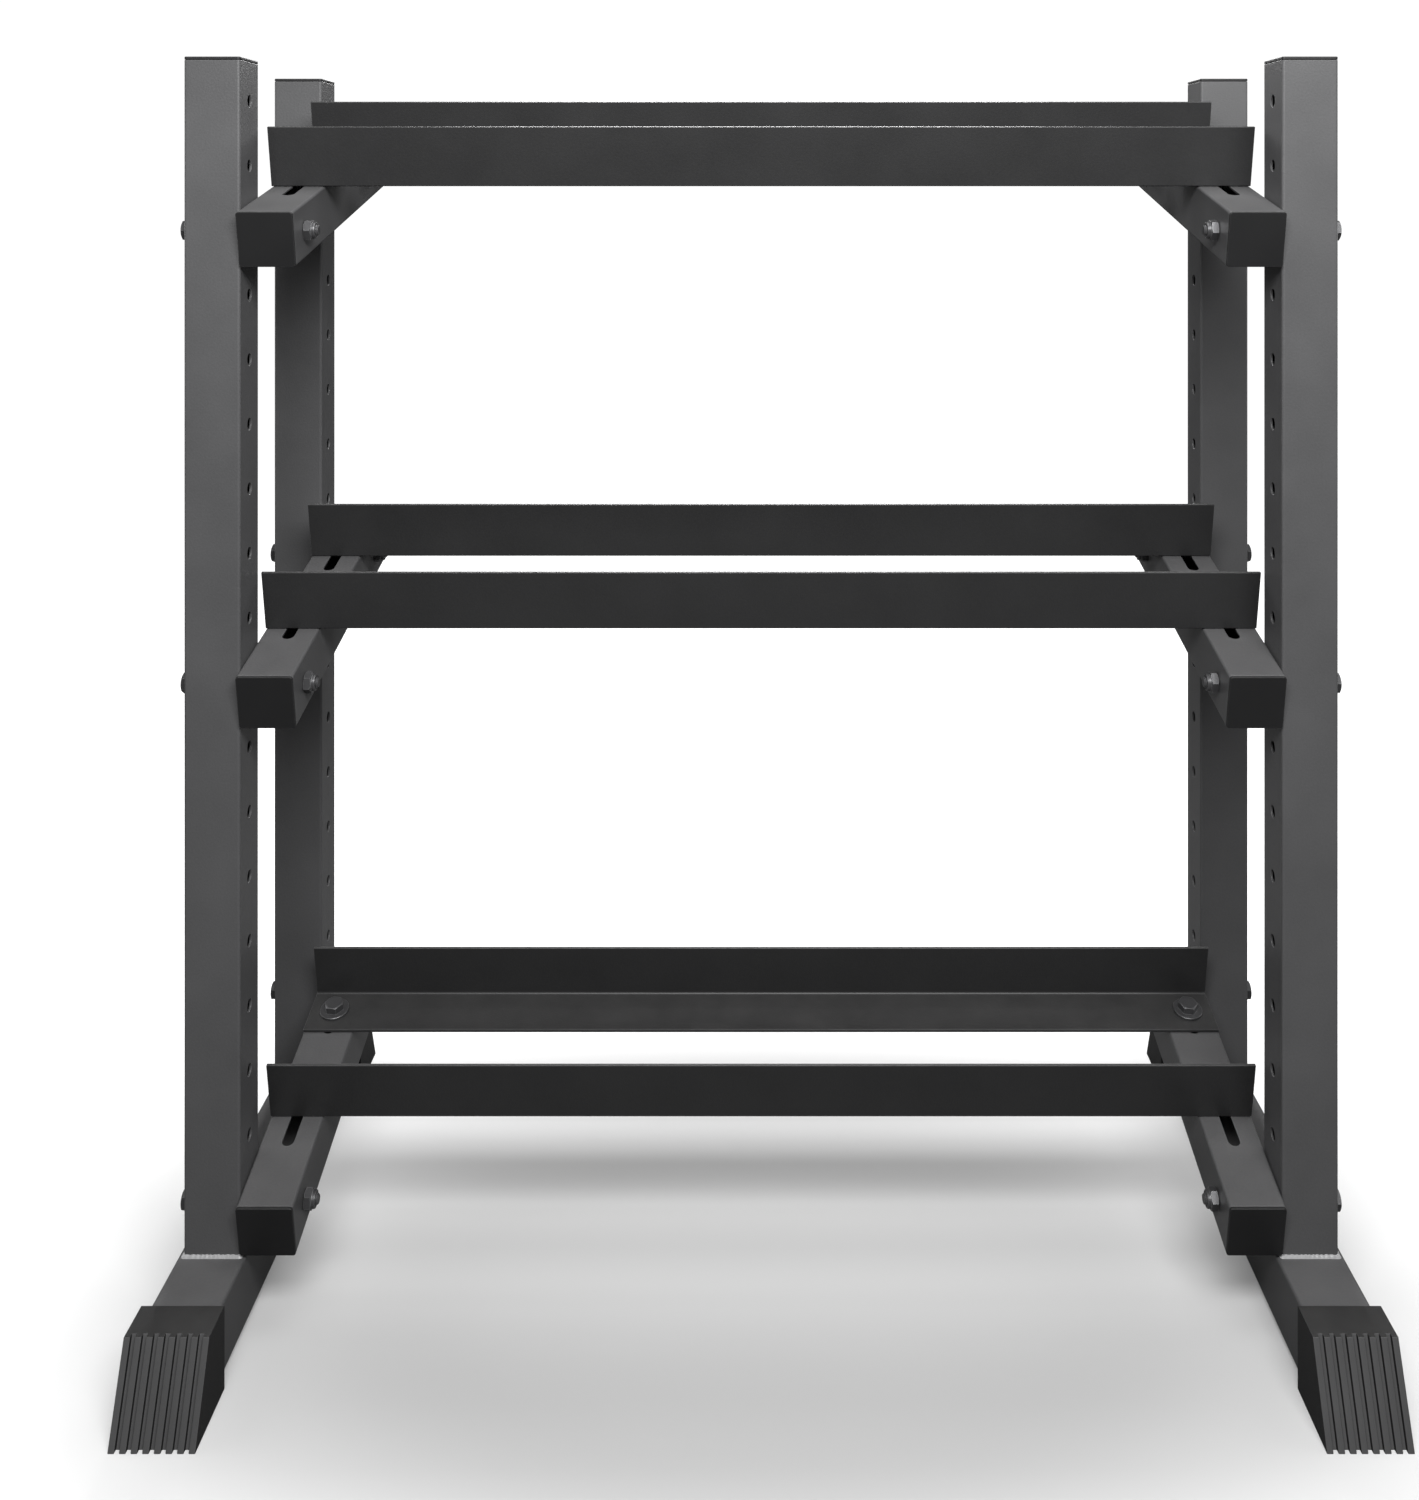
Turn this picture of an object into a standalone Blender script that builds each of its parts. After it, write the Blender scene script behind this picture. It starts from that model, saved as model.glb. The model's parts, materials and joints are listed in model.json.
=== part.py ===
"""A free-standing three-tier dumbbell rack, in metres, with +Z up and its front facing -Y.

Two side frames stand on the floor. Each has a foot tube in rubber shoes, two drilled uprights
and three sloping arms. Six angle rails join the sides, two on each tier. The rails' bolts pass
through slots in the arms, so each rail slides along its arms when its bolts are loose.
The origin is on the floor, under the middle of the rack.
"""

import math

import bmesh
import bpy
from mathutils import Matrix, Vector

MM = 0.001

# Driving dimensions

GAP = 0.3 * MM  # left between two pieces that touch

TUBE_SIDE = 50 * MM  # uprights and arms are cut from one size of square tube
TUBE_WALL = 2 * MM
TUBE_CORNER = 2.5 * MM
CORNER_STEPS = 2  # straight facets in a tube's rounded corner

SIDE_FRAME_X = 487 * MM  # middle of a side frame, from the middle of the rack
UPRIGHT_Y = 125 * MM
UPRIGHT_TOP_Z = 1125.5 * MM
HOLE_COUNT = 18
HOLE_PITCH = 58.32 * MM
FIRST_HOLE_Z = 99.1 * MM
HOLE_DIAMETER = 11 * MM
HOLE_FACETS = 10

FOOT_SIDE = 60 * MM
FOOT_HALF_LENGTH = 245.5 * MM
SOLE_THICKNESS = 4 * MM

SHOE_WIDTH = 70.4 * MM
SHOE_HEIGHT = 70 * MM
SHOE_BACK_Y = 217 * MM  # edge that the foot tube comes out of
SHOE_TOP_TOE_Y = 252.5 * MM
SHOE_SOLE_TOE_Y = 284 * MM
SHOE_SOCKET_Y = 246 * MM
GROOVE_COUNT = 7
GROOVE_WIDTH = 3.8 * MM
GROOVE_DEPTH = 4 * MM

ARM_HALF_LENGTH = 159.5 * MM
ARM_X = SIDE_FRAME_X - TUBE_SIDE - GAP  # the arms stand against the uprights' inner faces
ARM_FIRST_HOLES = {"bottom": 0, "middle": 8, "top": 15}  # front upright's hole for each tier
SLOT_TRAVEL = 57 * MM  # how far a rail's bolt can move in its slot
FRONT_SLOT_MIDDLE = -61.8 * MM  # measured along the arm from its middle
REAR_SLOT_MIDDLE = 73.5 * MM

CAP_FLANGE = 3 * MM
CAP_PLUG_DEPTH = 14 * MM
CAP_WALL = 2 * MM

RAIL_HALF_LENGTH = 461.5 * MM
RAIL_UPRIGHT_LEG = 57 * MM
RAIL_FLAT_LEG = 53 * MM
RAIL_THICKNESS = 3 * MM
RAIL_BOLT_SETBACK = 27 * MM  # from the outside of the upright leg to the bolt

# Where each rail's bolts sit along the arms, and which way its flat leg points from its bend.
RAILS = {
    "bottom_front_rail": ("bottom", -36.7 * MM, 1),
    "bottom_rear_rail": ("bottom", 66.7 * MM, -1),
    "middle_front_rail": ("middle", -51.4 * MM, 1),
    "middle_rear_rail": ("middle", 96.5 * MM, 1),
    "top_front_rail": ("top", -34.1 * MM, 1),
    "top_rear_rail": ("top", 55.2 * MM, -1),
}

SHANK_RADIUS = 4.9 * MM
HEX_ACROSS_FLATS = 17 * MM
HEAD_HEIGHT = 7 * MM
HEAD_CHAMFER = 0.8 * MM
NUT_HEIGHT = 10 * MM
SHANK_TAIL = 2.2 * MM  # thread that stands out of a nut
NARROW_WASHER = (10.5 * MM, 2 * MM)  # outer radius and thickness, under an arm bolt's head
WIDE_WASHER = (14.5 * MM, 2.5 * MM)  # the rail bolts bridge the slots with these
BOLT_FACETS = 12

# Values that follow from them

SLOPE = math.atan2(HOLE_PITCH, 2 * UPRIGHT_Y)  # an arm rises by one hole from front to rear
SIDES = {"left": -1, "right": 1}
ENDS = {"front": -1, "rear": 1}


def tier_middle_z(tier):
    """Height of an arm's middle, half a hole above its front bolt."""
    return FIRST_HOLE_Z + (ARM_FIRST_HOLES[tier] + 0.5) * HOLE_PITCH


def arm_frame(tier, x=0.0):
    """A frame at an arm's middle: Y runs up along the arm to the rear and Z is square to it."""
    return Matrix.Translation((x, 0, tier_middle_z(tier))) @ Matrix.Rotation(SLOPE, 4, "X")


# Scene, materials and objects


def clear_scene():
    for obj in list(bpy.data.objects):
        bpy.data.objects.remove(obj, do_unlink=True)


def make_material(name, colour, roughness, metallic):
    material = bpy.data.materials.new(name)
    material.use_nodes = True
    shader = material.node_tree.nodes["Principled BSDF"]
    shader.inputs["Base Color"].default_value = (*colour, 1)
    shader.inputs["Roughness"].default_value = roughness
    shader.inputs["Metallic"].default_value = metallic
    return material


def add_object(name, bm, material=None, frame=None, parent=None):
    """Turns a bmesh into an object at frame, which is relative to parent if there is one."""
    bmesh.ops.recalc_face_normals(bm, faces=bm.faces)
    mesh = bpy.data.meshes.new(name)
    bm.to_mesh(mesh)
    bm.free()
    mesh.shade_smooth()
    mesh.set_sharp_from_angle(angle=math.radians(35))
    if material:
        mesh.materials.append(material)
    obj = bpy.data.objects.new(name, mesh)
    bpy.context.scene.collection.objects.link(obj)
    obj.parent = parent
    obj.matrix_basis = frame or Matrix.Identity(4)
    return obj


def add_empty(name, frame):
    empty = bpy.data.objects.new(name, None)
    bpy.context.scene.collection.objects.link(empty)
    empty.matrix_basis = frame
    return empty


def cut(target, name, bm):
    """Removes a bmesh, given in the target's own frame, from the target."""
    cutter = add_object(name, bm, frame=target.matrix_basis.copy(), parent=target.parent)
    cutter.hide_render = True
    cutter.display_type = "WIRE"
    boolean = target.modifiers.new(name, "BOOLEAN")
    boolean.operation = "DIFFERENCE"
    boolean.solver = "EXACT"
    boolean.object = cutter


# Outlines and lofts


def rounded_square(side, corner):
    """Points round a square with rounded corners, centred on the origin."""
    points = []
    reach = side / 2 - corner
    for quarter in range(4):
        middle = Matrix.Rotation(quarter * math.pi / 2, 2) @ Vector((reach, reach))
        for step in range(CORNER_STEPS + 1):
            angle = (quarter + step / CORNER_STEPS) * math.pi / 2
            points.append(middle + corner * Vector((math.cos(angle), math.sin(angle))))
    return points


def circle(radius, facets=BOLT_FACETS):
    turns = [2 * math.pi * i / facets for i in range(facets)]
    return [Vector((radius * math.cos(t), radius * math.sin(t))) for t in turns]


def hexagon():
    """A hexagon with a point halfway along each side, so that it lofts to a circle."""
    corner_radius = HEX_ACROSS_FLATS / math.sqrt(3)
    points = circle(corner_radius, 6)
    halfway = [(points[i] + points[(i + 1) % 6]) / 2 for i in range(6)]
    return [p for pair in zip(points, halfway) for p in pair]


def slot_outline(width, travel, middle):
    """A slot along Y with round ends."""
    points = []
    for end in (1, -1):
        for step in range(HOLE_FACETS // 2 + 1):
            angle = step * math.pi / (HOLE_FACETS // 2) + (0 if end > 0 else math.pi)
            y = middle + end * travel / 2 + width / 2 * math.sin(angle)
            points.append(Vector((width / 2 * math.cos(angle), y)))
    return points


def loft(bm, sections, closed=False):
    """Joins outlines with equal point counts, each given as (points, z), by strips of quads."""
    rings = [[bm.verts.new((p.x, p.y, z)) for p in points] for points, z in sections]
    pairs = list(zip(rings, rings[1:]))
    if closed:
        pairs.append((rings[-1], rings[0]))
    else:
        bm.faces.new(rings[0])
        bm.faces.new(rings[-1])
    for lower, upper in pairs:
        for i in range(len(lower)):
            j = (i + 1) % len(lower)
            bm.faces.new((lower[i], lower[j], upper[j], upper[i]))


def square_tube(side, wall, corner, low, high):
    """A square tube along Z, open at both ends."""
    bm = bmesh.new()
    outside = rounded_square(side, corner)
    inside = rounded_square(side - 2 * wall, corner - wall)
    loft(bm, [(outside, low), (outside, high), (inside, high), (inside, low)], closed=True)
    return bm


def along_y(bm):
    """Turns a shape that was made along Z so that it lies along Y."""
    bmesh.ops.rotate(bm, verts=bm.verts, matrix=Matrix.Rotation(-math.pi / 2, 3, "X"))
    return bm


def cross_drill(heights, facets=HOLE_FACETS):
    """Cylinders along X at the given points (y, z), long enough to pass through a tube."""
    bm = bmesh.new()
    for y, z in heights:
        turned = Matrix.Translation((0, y, z)) @ Matrix.Rotation(math.pi / 2, 4, "Y")
        bmesh.ops.create_cone(
            bm,
            cap_ends=True,
            segments=facets,
            radius1=HOLE_DIAMETER / 2,
            radius2=HOLE_DIAMETER / 2,
            depth=2 * TUBE_SIDE,
            matrix=turned,
        )
    return bm


# Side frames


def make_foot_tube(side, steel):
    bm = along_y(square_tube(FOOT_SIDE, TUBE_WALL, TUBE_CORNER, -FOOT_HALF_LENGTH, FOOT_HALF_LENGTH))
    middle = Matrix.Translation((SIDES[side] * SIDE_FRAME_X, 0, SOLE_THICKNESS + FOOT_SIDE / 2))
    add_object(f"{side}_foot_tube", bm, steel, middle)


def make_shoe(side, end, rubber):
    """A shoe with a sloping ribbed toe. It is made with its toe at +Y and turned for the front."""
    profile = [
        (SHOE_BACK_Y, 0),
        (SHOE_SOLE_TOE_Y, 0),
        (SHOE_TOP_TOE_Y, SHOE_HEIGHT),
        (SHOE_BACK_Y, SHOE_HEIGHT),
    ]
    bm = bmesh.new()
    ring = [bm.verts.new((-SHOE_WIDTH / 2, y, z)) for y, z in profile]
    extruded = bmesh.ops.extrude_face_region(bm, geom=[bm.faces.new(ring)])
    moved = [v for v in extruded["geom"] if isinstance(v, bmesh.types.BMVert)]
    bmesh.ops.translate(bm, verts=moved, vec=(SHOE_WIDTH, 0, 0))
    turn = Matrix.Rotation(0 if end == "rear" else math.pi, 4, "Z")
    frame = Matrix.Translation((SIDES[side] * SIDE_FRAME_X, 0, 0)) @ turn
    shoe = add_object(f"{side}_{end}_shoe", bm, rubber, frame)
    cut(shoe, f"{shoe.name}_socket_cutter", shoe_socket())
    cut(shoe, f"{shoe.name}_groove_cutter", shoe_grooves())


def shoe_socket():
    """The square pocket that the foot tube's end sits in."""
    side = FOOT_SIDE + 2 * GAP
    bm = bmesh.new()
    bmesh.ops.create_cube(bm, size=1)
    start = SHOE_BACK_Y - 20 * MM
    bmesh.ops.scale(bm, verts=bm.verts, vec=(side, SHOE_SOCKET_Y - start, side))
    centre = (0, (SHOE_SOCKET_Y + start) / 2, SOLE_THICKNESS + FOOT_SIDE / 2)
    bmesh.ops.translate(bm, verts=bm.verts, vec=centre)
    return bm


def shoe_grooves():
    """Slanted bars that leave an even row of ribs down the toe."""
    rib_width = (SHOE_WIDTH - GROOVE_COUNT * GROOVE_WIDTH) / (GROOVE_COUNT + 1)
    lean = (SHOE_TOP_TOE_Y - SHOE_SOLE_TOE_Y) / SHOE_HEIGHT
    low_z, high_z = -10 * MM, SHOE_HEIGHT + 10 * MM
    bm = bmesh.new()
    for i in range(GROOVE_COUNT):
        left = -SHOE_WIDTH / 2 + rib_width + i * (rib_width + GROOVE_WIDTH)
        bar = bmesh.ops.create_cube(bm, size=1)["verts"]
        for vert in bar:
            x, y, z = (value > 0 for value in vert.co)
            height = high_z if z else low_z
            floor_y = SHOE_SOLE_TOE_Y + lean * height - GROOVE_DEPTH
            vert.co = (left + (GROOVE_WIDTH if x else 0), floor_y + (30 * MM if y else 0), height)
    return bm


def make_upright(side, end, steel, plastic):
    x = SIDES[side] * SIDE_FRAME_X
    y = ENDS[end] * UPRIGHT_Y
    base_z = SOLE_THICKNESS + FOOT_SIDE + GAP
    frame = Matrix.Translation((x, y, 0))
    bm = square_tube(TUBE_SIDE, TUBE_WALL, TUBE_CORNER, base_z, UPRIGHT_TOP_Z)
    upright = add_object(f"{side}_{end}_upright", bm, steel, frame)
    holes = [(0, FIRST_HOLE_Z + i * HOLE_PITCH) for i in range(HOLE_COUNT)]
    cut(upright, f"{upright.name}_hole_cutter", cross_drill(holes))
    cap_frame = Matrix.Translation((x, y, UPRIGHT_TOP_Z))
    add_object(f"{side}_{end}_upright_cap", tube_cap(), plastic, cap_frame)


def tube_cap():
    """A plug that closes a tube: its flange covers the tube's end, which is at Z 0."""
    flange = rounded_square(TUBE_SIDE, TUBE_CORNER)
    fit = TUBE_SIDE - 2 * (TUBE_WALL + GAP)
    plug = rounded_square(fit, TUBE_CORNER - TUBE_WALL)
    hollow = rounded_square(fit - 2 * CAP_WALL, TUBE_CORNER - TUBE_WALL)
    bm = bmesh.new()
    sections = [
        (flange, CAP_FLANGE),
        (flange, GAP),
        (plug, GAP),
        (plug, -CAP_PLUG_DEPTH),
        (hollow, -CAP_PLUG_DEPTH),
        (hollow, GAP),
    ]
    loft(bm, sections)
    return bm


# Arms


def make_arm(side, tier, steel, plastic):
    frame = arm_frame(tier, SIDES[side] * ARM_X)
    bm = along_y(square_tube(TUBE_SIDE, TUBE_WALL, TUBE_CORNER, -ARM_HALF_LENGTH, ARM_HALF_LENGTH))
    arm = add_object(f"{side}_{tier}_arm", bm, steel, frame)
    bolt_reach = UPRIGHT_Y / math.cos(SLOPE)
    cut(arm, f"{arm.name}_hole_cutter", cross_drill([(-bolt_reach, 0), (bolt_reach, 0)]))
    cut(arm, f"{arm.name}_slot_cutter", arm_slots())
    turned = Matrix.Translation((0, -ARM_HALF_LENGTH, 0)) @ Matrix.Rotation(math.pi / 2, 4, "X")
    add_object(f"{side}_{tier}_arm_front_cap", tube_cap(), plastic, frame @ turned)


def arm_slots():
    """Bars that cut a front and a rear slot down through an arm's top and bottom walls."""
    bm = bmesh.new()
    for middle in (FRONT_SLOT_MIDDLE, REAR_SLOT_MIDDLE):
        outline = slot_outline(HOLE_DIAMETER, SLOT_TRAVEL, middle)
        loft(bm, [(outline, -TUBE_SIDE), (outline, TUBE_SIDE)])
    return bm


# Bolts


def hex_bolt(grip, washer, washer_under_nut):
    """A bolt along Z with its washer and nut. Z 0 is the face that the washer lies on."""
    washer_radius, washer_thickness = washer
    head_low = washer_thickness
    head_high = head_low + HEAD_HEIGHT
    nut_high = -grip
    sections = [
        (circle(HEX_ACROSS_FLATS / 2), head_high),
        (hexagon(), head_high - HEAD_CHAMFER),
        (hexagon(), head_low),
        (circle(washer_radius), head_low),
        (circle(washer_radius), 0),
        (circle(SHANK_RADIUS), 0),
        (circle(SHANK_RADIUS), nut_high),
    ]
    if washer_under_nut:
        nut_high -= washer_thickness
        sections += [(circle(washer_radius), -grip), (circle(washer_radius), nut_high)]
    nut_low = nut_high - NUT_HEIGHT
    sections += [
        (hexagon(), nut_high),
        (hexagon(), nut_low),
        (circle(SHANK_RADIUS), nut_low),
        (circle(SHANK_RADIUS), nut_low - SHANK_TAIL),
    ]
    bm = bmesh.new()
    loft(bm, sections)
    return bm


def make_arm_bolt(side, tier, end, black_steel):
    """A bolt through an upright and an arm, with its head on the rack's outside."""
    sign = SIDES[side]
    x = sign * (SIDE_FRAME_X + TUBE_SIDE / 2 + GAP)
    z = tier_middle_z(tier) + ENDS[end] * HOLE_PITCH / 2
    turn = Matrix.Rotation(sign * math.pi / 2, 4, "Y")
    frame = Matrix.Translation((x, ENDS[end] * UPRIGHT_Y, z)) @ turn
    bm = hex_bolt(2 * TUBE_SIDE + 3 * GAP, NARROW_WASHER, washer_under_nut=False)
    add_object(f"{side}_{tier}_arm_{end}_bolt", bm, black_steel, frame)


# Rails


def make_rail(name, steel, black_steel):
    """An angle rail and its two bolts, under an empty on the line that the rail slides along."""
    tier, along, flat_leg_way = RAILS[name]
    seat = arm_frame(tier) @ Matrix.Translation((0, along, TUBE_SIDE / 2))
    slider = add_empty(f"{name}_slider", seat)
    rail = add_object(name, angle_section(flat_leg_way), steel, parent=slider)
    cut(rail, f"{name}_hole_cutter", rail_holes())
    grip = TUBE_SIDE + RAIL_THICKNESS + 3 * GAP
    for side, sign in SIDES.items():
        place = Matrix.Translation((sign * ARM_X, 0, RAIL_THICKNESS + 2 * GAP))
        bm = hex_bolt(grip, WIDE_WASHER, washer_under_nut=True)
        add_object(f"{name}_{side}_bolt", bm, black_steel, place, slider)


def angle_section(flat_leg_way):
    """An L-shaped bar along X: the bolts are at Y 0, and the flat leg points along Y."""
    outline = [
        (0, 0),
        (RAIL_FLAT_LEG, 0),
        (RAIL_FLAT_LEG, RAIL_THICKNESS),
        (RAIL_THICKNESS, RAIL_THICKNESS),
        (RAIL_THICKNESS, RAIL_UPRIGHT_LEG),
        (0, RAIL_UPRIGHT_LEG),
    ]
    bm = bmesh.new()
    for x in (-RAIL_HALF_LENGTH, RAIL_HALF_LENGTH):
        ring = [
            bm.verts.new((x, flat_leg_way * (y - RAIL_BOLT_SETBACK), z + GAP)) for y, z in outline
        ]
        bm.faces.new(ring)
    bmesh.ops.bridge_loops(bm, edges=bm.edges[:])
    return bm


def rail_holes():
    bm = bmesh.new()
    for x in (-ARM_X, ARM_X):
        bmesh.ops.create_cone(
            bm,
            cap_ends=True,
            segments=HOLE_FACETS,
            radius1=HOLE_DIAMETER / 2,
            radius2=HOLE_DIAMETER / 2,
            depth=6 * RAIL_THICKNESS,
            matrix=Matrix.Translation((x, 0, 0)),
        )
    return bm


def main():
    clear_scene()
    steel = make_material("dark_grey_powder_coat", (0.075, 0.075, 0.078), 0.42, 0.0)
    black_steel = make_material("black_oxide_steel", (0.022, 0.022, 0.023), 0.38, 0.85)
    plastic = make_material("black_plastic", (0.017, 0.017, 0.018), 0.5, 0.0)
    rubber = make_material("dark_moulded_rubber", (0.035, 0.035, 0.036), 0.6, 0.0)
    for side in SIDES:
        make_foot_tube(side, steel)
        for end in ENDS:
            make_shoe(side, end, rubber)
            make_upright(side, end, steel, plastic)
        for tier in ARM_FIRST_HOLES:
            make_arm(side, tier, steel, plastic)
            for end in ENDS:
                make_arm_bolt(side, tier, end, black_steel)
    for name in RAILS:
        make_rail(name, steel, black_steel)


main()
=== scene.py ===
# %% [markdown]
# # A three-tier dumbbell rack
#
# The real rack is made of square steel tube and angle rails, painted with dark grey powder, with
# black bolts, plastic caps and rubber shoes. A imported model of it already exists, with straight
# facets where the real metal is round. In this lesson each of its parts is made again as a fine
# mesh in the same place, given a finish, and lit as it would be in a small studio.
#
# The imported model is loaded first. It never moves, and every new piece is tied to one of its
# bodies: the frame, or one of the six rails that slide along the arms.

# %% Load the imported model
import json
import math

import bmesh
import bpy
from mathutils import Matrix, Vector


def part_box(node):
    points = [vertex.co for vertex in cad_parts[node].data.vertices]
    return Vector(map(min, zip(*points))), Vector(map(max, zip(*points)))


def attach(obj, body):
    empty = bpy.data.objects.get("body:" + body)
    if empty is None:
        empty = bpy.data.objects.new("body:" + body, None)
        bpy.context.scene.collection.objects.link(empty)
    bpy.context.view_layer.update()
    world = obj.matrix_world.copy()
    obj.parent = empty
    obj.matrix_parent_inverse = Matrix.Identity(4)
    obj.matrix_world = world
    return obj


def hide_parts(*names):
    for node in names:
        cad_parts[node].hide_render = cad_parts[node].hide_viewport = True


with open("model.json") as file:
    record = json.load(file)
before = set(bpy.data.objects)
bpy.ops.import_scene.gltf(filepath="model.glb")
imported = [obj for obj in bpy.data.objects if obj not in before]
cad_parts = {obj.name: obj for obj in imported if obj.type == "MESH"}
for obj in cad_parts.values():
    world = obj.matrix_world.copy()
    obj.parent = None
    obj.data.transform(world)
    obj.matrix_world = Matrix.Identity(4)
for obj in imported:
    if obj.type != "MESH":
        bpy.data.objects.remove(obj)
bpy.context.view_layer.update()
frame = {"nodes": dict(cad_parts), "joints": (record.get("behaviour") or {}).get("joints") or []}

MM = 0.001

# %% [markdown]
# ## Where things are
#
# The arms slope, so a box whose sides follow the room's axes says little about a rail that lies
# on them. The helper below looks at a part from any other frame, such as one that is turned with
# an arm, and gives the part's lowest and highest corner there. The slope itself is the direction
# in which the rails slide, which the model's joints know.

# %% Measure parts in a frame of their own
SIDES = {"left": -1, "right": 1}
ENDS = {"front": -1, "rear": 1}
TIERS = ("bottom", "middle", "top")


def corners(node):
    return [vertex.co.copy() for vertex in frame["nodes"][node].data.vertices]


def span(node, place):
    """The lowest and highest corner of a part, seen from the frame called place."""
    seen = [place.inverted() @ corner for corner in corners(node)]
    low = Vector([min(corner[axis] for corner in seen) for axis in range(3)])
    high = Vector([max(corner[axis] for corner in seen) for axis in range(3)])
    return low, high


def middle(node):
    low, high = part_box(node)
    return (low + high) / 2


# %% Find the slope of the arms and the spacing of the holes
slide_way = Vector(frame["joints"][0]["axis"])
SLOPE = math.atan2(slide_way.z, slide_way.y)
FIRST_HOLE_Z = middle("left_bottom_arm_front_bolt").z
HOLE_PITCH = middle("left_bottom_arm_rear_bolt").z - FIRST_HOLE_Z


def arm_place(side, tier):
    """A frame in the middle of an arm: Y runs up along the arm, and Z is square to its top."""
    return Matrix.Translation(middle(f"{side}_{tier}_arm")) @ Matrix.Rotation(SLOPE, 4, "X")


def tier_place(tier):
    """The same frame, moved to the middle of the rack."""
    place = arm_place("right", tier)
    place.translation.x = 0
    return place


print(f"the arms slope by {math.degrees(SLOPE):.1f} degrees")
print(f"the holes are {HOLE_PITCH / MM:.1f} mm apart, from {FIRST_HOLE_Z / MM:.1f} mm up")

# %% [markdown]
# ## Effects that several finishes share
#
# Powder paint, moulded plastic and rubber all have a fine skin, a slow change of tone from place
# to place, edges painted lighter, partly for wear and partly as a painted highlight, and a little
# dust where they face up. Each of these is a node group, so that it is drawn once and every
# finish sets its own amounts. A group gives out masks and heights only. The shader stays in the
# finish, where its gloss is set.

# %% A helper for node groups
def new_group(name, inputs, outputs):
    """A shader node group with number sockets. Returns it with its input and output nodes."""
    group = bpy.data.node_groups.new(name, "ShaderNodeTree")
    for label, value in inputs.items():
        socket = group.interface.new_socket(label, in_out="INPUT", socket_type="NodeSocketFloat")
        socket.default_value = value
    for label in outputs:
        group.interface.new_socket(label, in_out="OUTPUT", socket_type="NodeSocketFloat")
    return group, group.nodes.new("NodeGroupInput"), group.nodes.new("NodeGroupOutput")


def math_node(tree, operation, first, second, clamp=False):
    """A Math node. Each of its two terms is a socket to link or a number to set."""
    node = tree.nodes.new("ShaderNodeMath")
    node.operation = operation
    node.use_clamp = clamp
    for socket, term in zip(node.inputs, (first, second)):
        if isinstance(term, bpy.types.NodeSocket):
            tree.links.new(term, socket)
        else:
            socket.default_value = term
    return node.outputs[0]


# %% Skin: the fine surface that a coat or a mould leaves
skin, skin_in, skin_out = new_group("skin", {"Fineness": 900.0}, ["Height", "Tone"])
skin_place = skin.nodes.new("ShaderNodeTexCoord")
fine = skin.nodes.new("ShaderNodeTexNoise")
fine.inputs["Detail"].default_value = 3.0
fine.inputs["Roughness"].default_value = 0.55
skin.links.new(skin_place.outputs["Object"], fine.inputs["Vector"])
skin.links.new(skin_in.outputs["Fineness"], fine.inputs["Scale"])
skin.links.new(fine.outputs[0], skin_out.inputs["Height"])
slow = skin.nodes.new("ShaderNodeTexNoise")
slow.inputs["Scale"].default_value = 14.0
slow.inputs["Detail"].default_value = 4.0
skin.links.new(skin_place.outputs["Object"], slow.inputs["Vector"])
patchy = math_node(skin, "MULTIPLY", slow.outputs[0], 0.6)
grainy = math_node(skin, "MULTIPLY", fine.outputs[0], 0.4)
skin.links.new(math_node(skin, "ADD", patchy, grainy), skin_out.inputs["Tone"])
print("made the group skin")

# %% Worn and highlit edges: a sharp corner is painted lighter, partly as wear on the thin coat and partly as a painted highlight
wear_and_highlight, wear_and_highlight_in, wear_and_highlight_out = new_group("rubbed_edges", {"Width": 0.0012}, ["Mask"])
rounded_normal = wear_and_highlight.nodes.new("ShaderNodeBevel")
rounded_normal.samples = 6
wear_and_highlight.links.new(wear_and_highlight_in.outputs["Width"], rounded_normal.inputs["Radius"])
true_normal = wear_and_highlight.nodes.new("ShaderNodeNewGeometry")
agreement = wear_and_highlight.nodes.new("ShaderNodeVectorMath")
agreement.operation = "DOT_PRODUCT"
wear_and_highlight.links.new(rounded_normal.outputs["Normal"], agreement.inputs[0])
wear_and_highlight.links.new(true_normal.outputs["Normal"], agreement.inputs[1])
turn = math_node(wear_and_highlight, "SUBTRACT", 1.0, agreement.outputs["Value"])
strong_turn = math_node(wear_and_highlight, "MULTIPLY", turn, 5.0, clamp=True)
wear_and_highlight_place = wear_and_highlight.nodes.new("ShaderNodeTexCoord")
patches = wear_and_highlight.nodes.new("ShaderNodeTexNoise")
patches.inputs["Scale"].default_value = 55.0
patches.inputs["Detail"].default_value = 3.0
wear_and_highlight.links.new(wear_and_highlight_place.outputs["Object"], patches.inputs["Vector"])
uneven = math_node(wear_and_highlight, "MULTIPLY_ADD", patches.outputs[0], 1.6)
uneven.node.inputs[2].default_value = -0.25
# painted highlight: this mask lightens sharp edges, partly as wear and partly to stand in for the
# light that rounded edges catch
wear_and_highlight.links.new(
    math_node(wear_and_highlight, "MULTIPLY", strong_turn, uneven, clamp=True), wear_and_highlight_out.inputs["Mask"]
)
print("made the group rubbed_edges")

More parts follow.
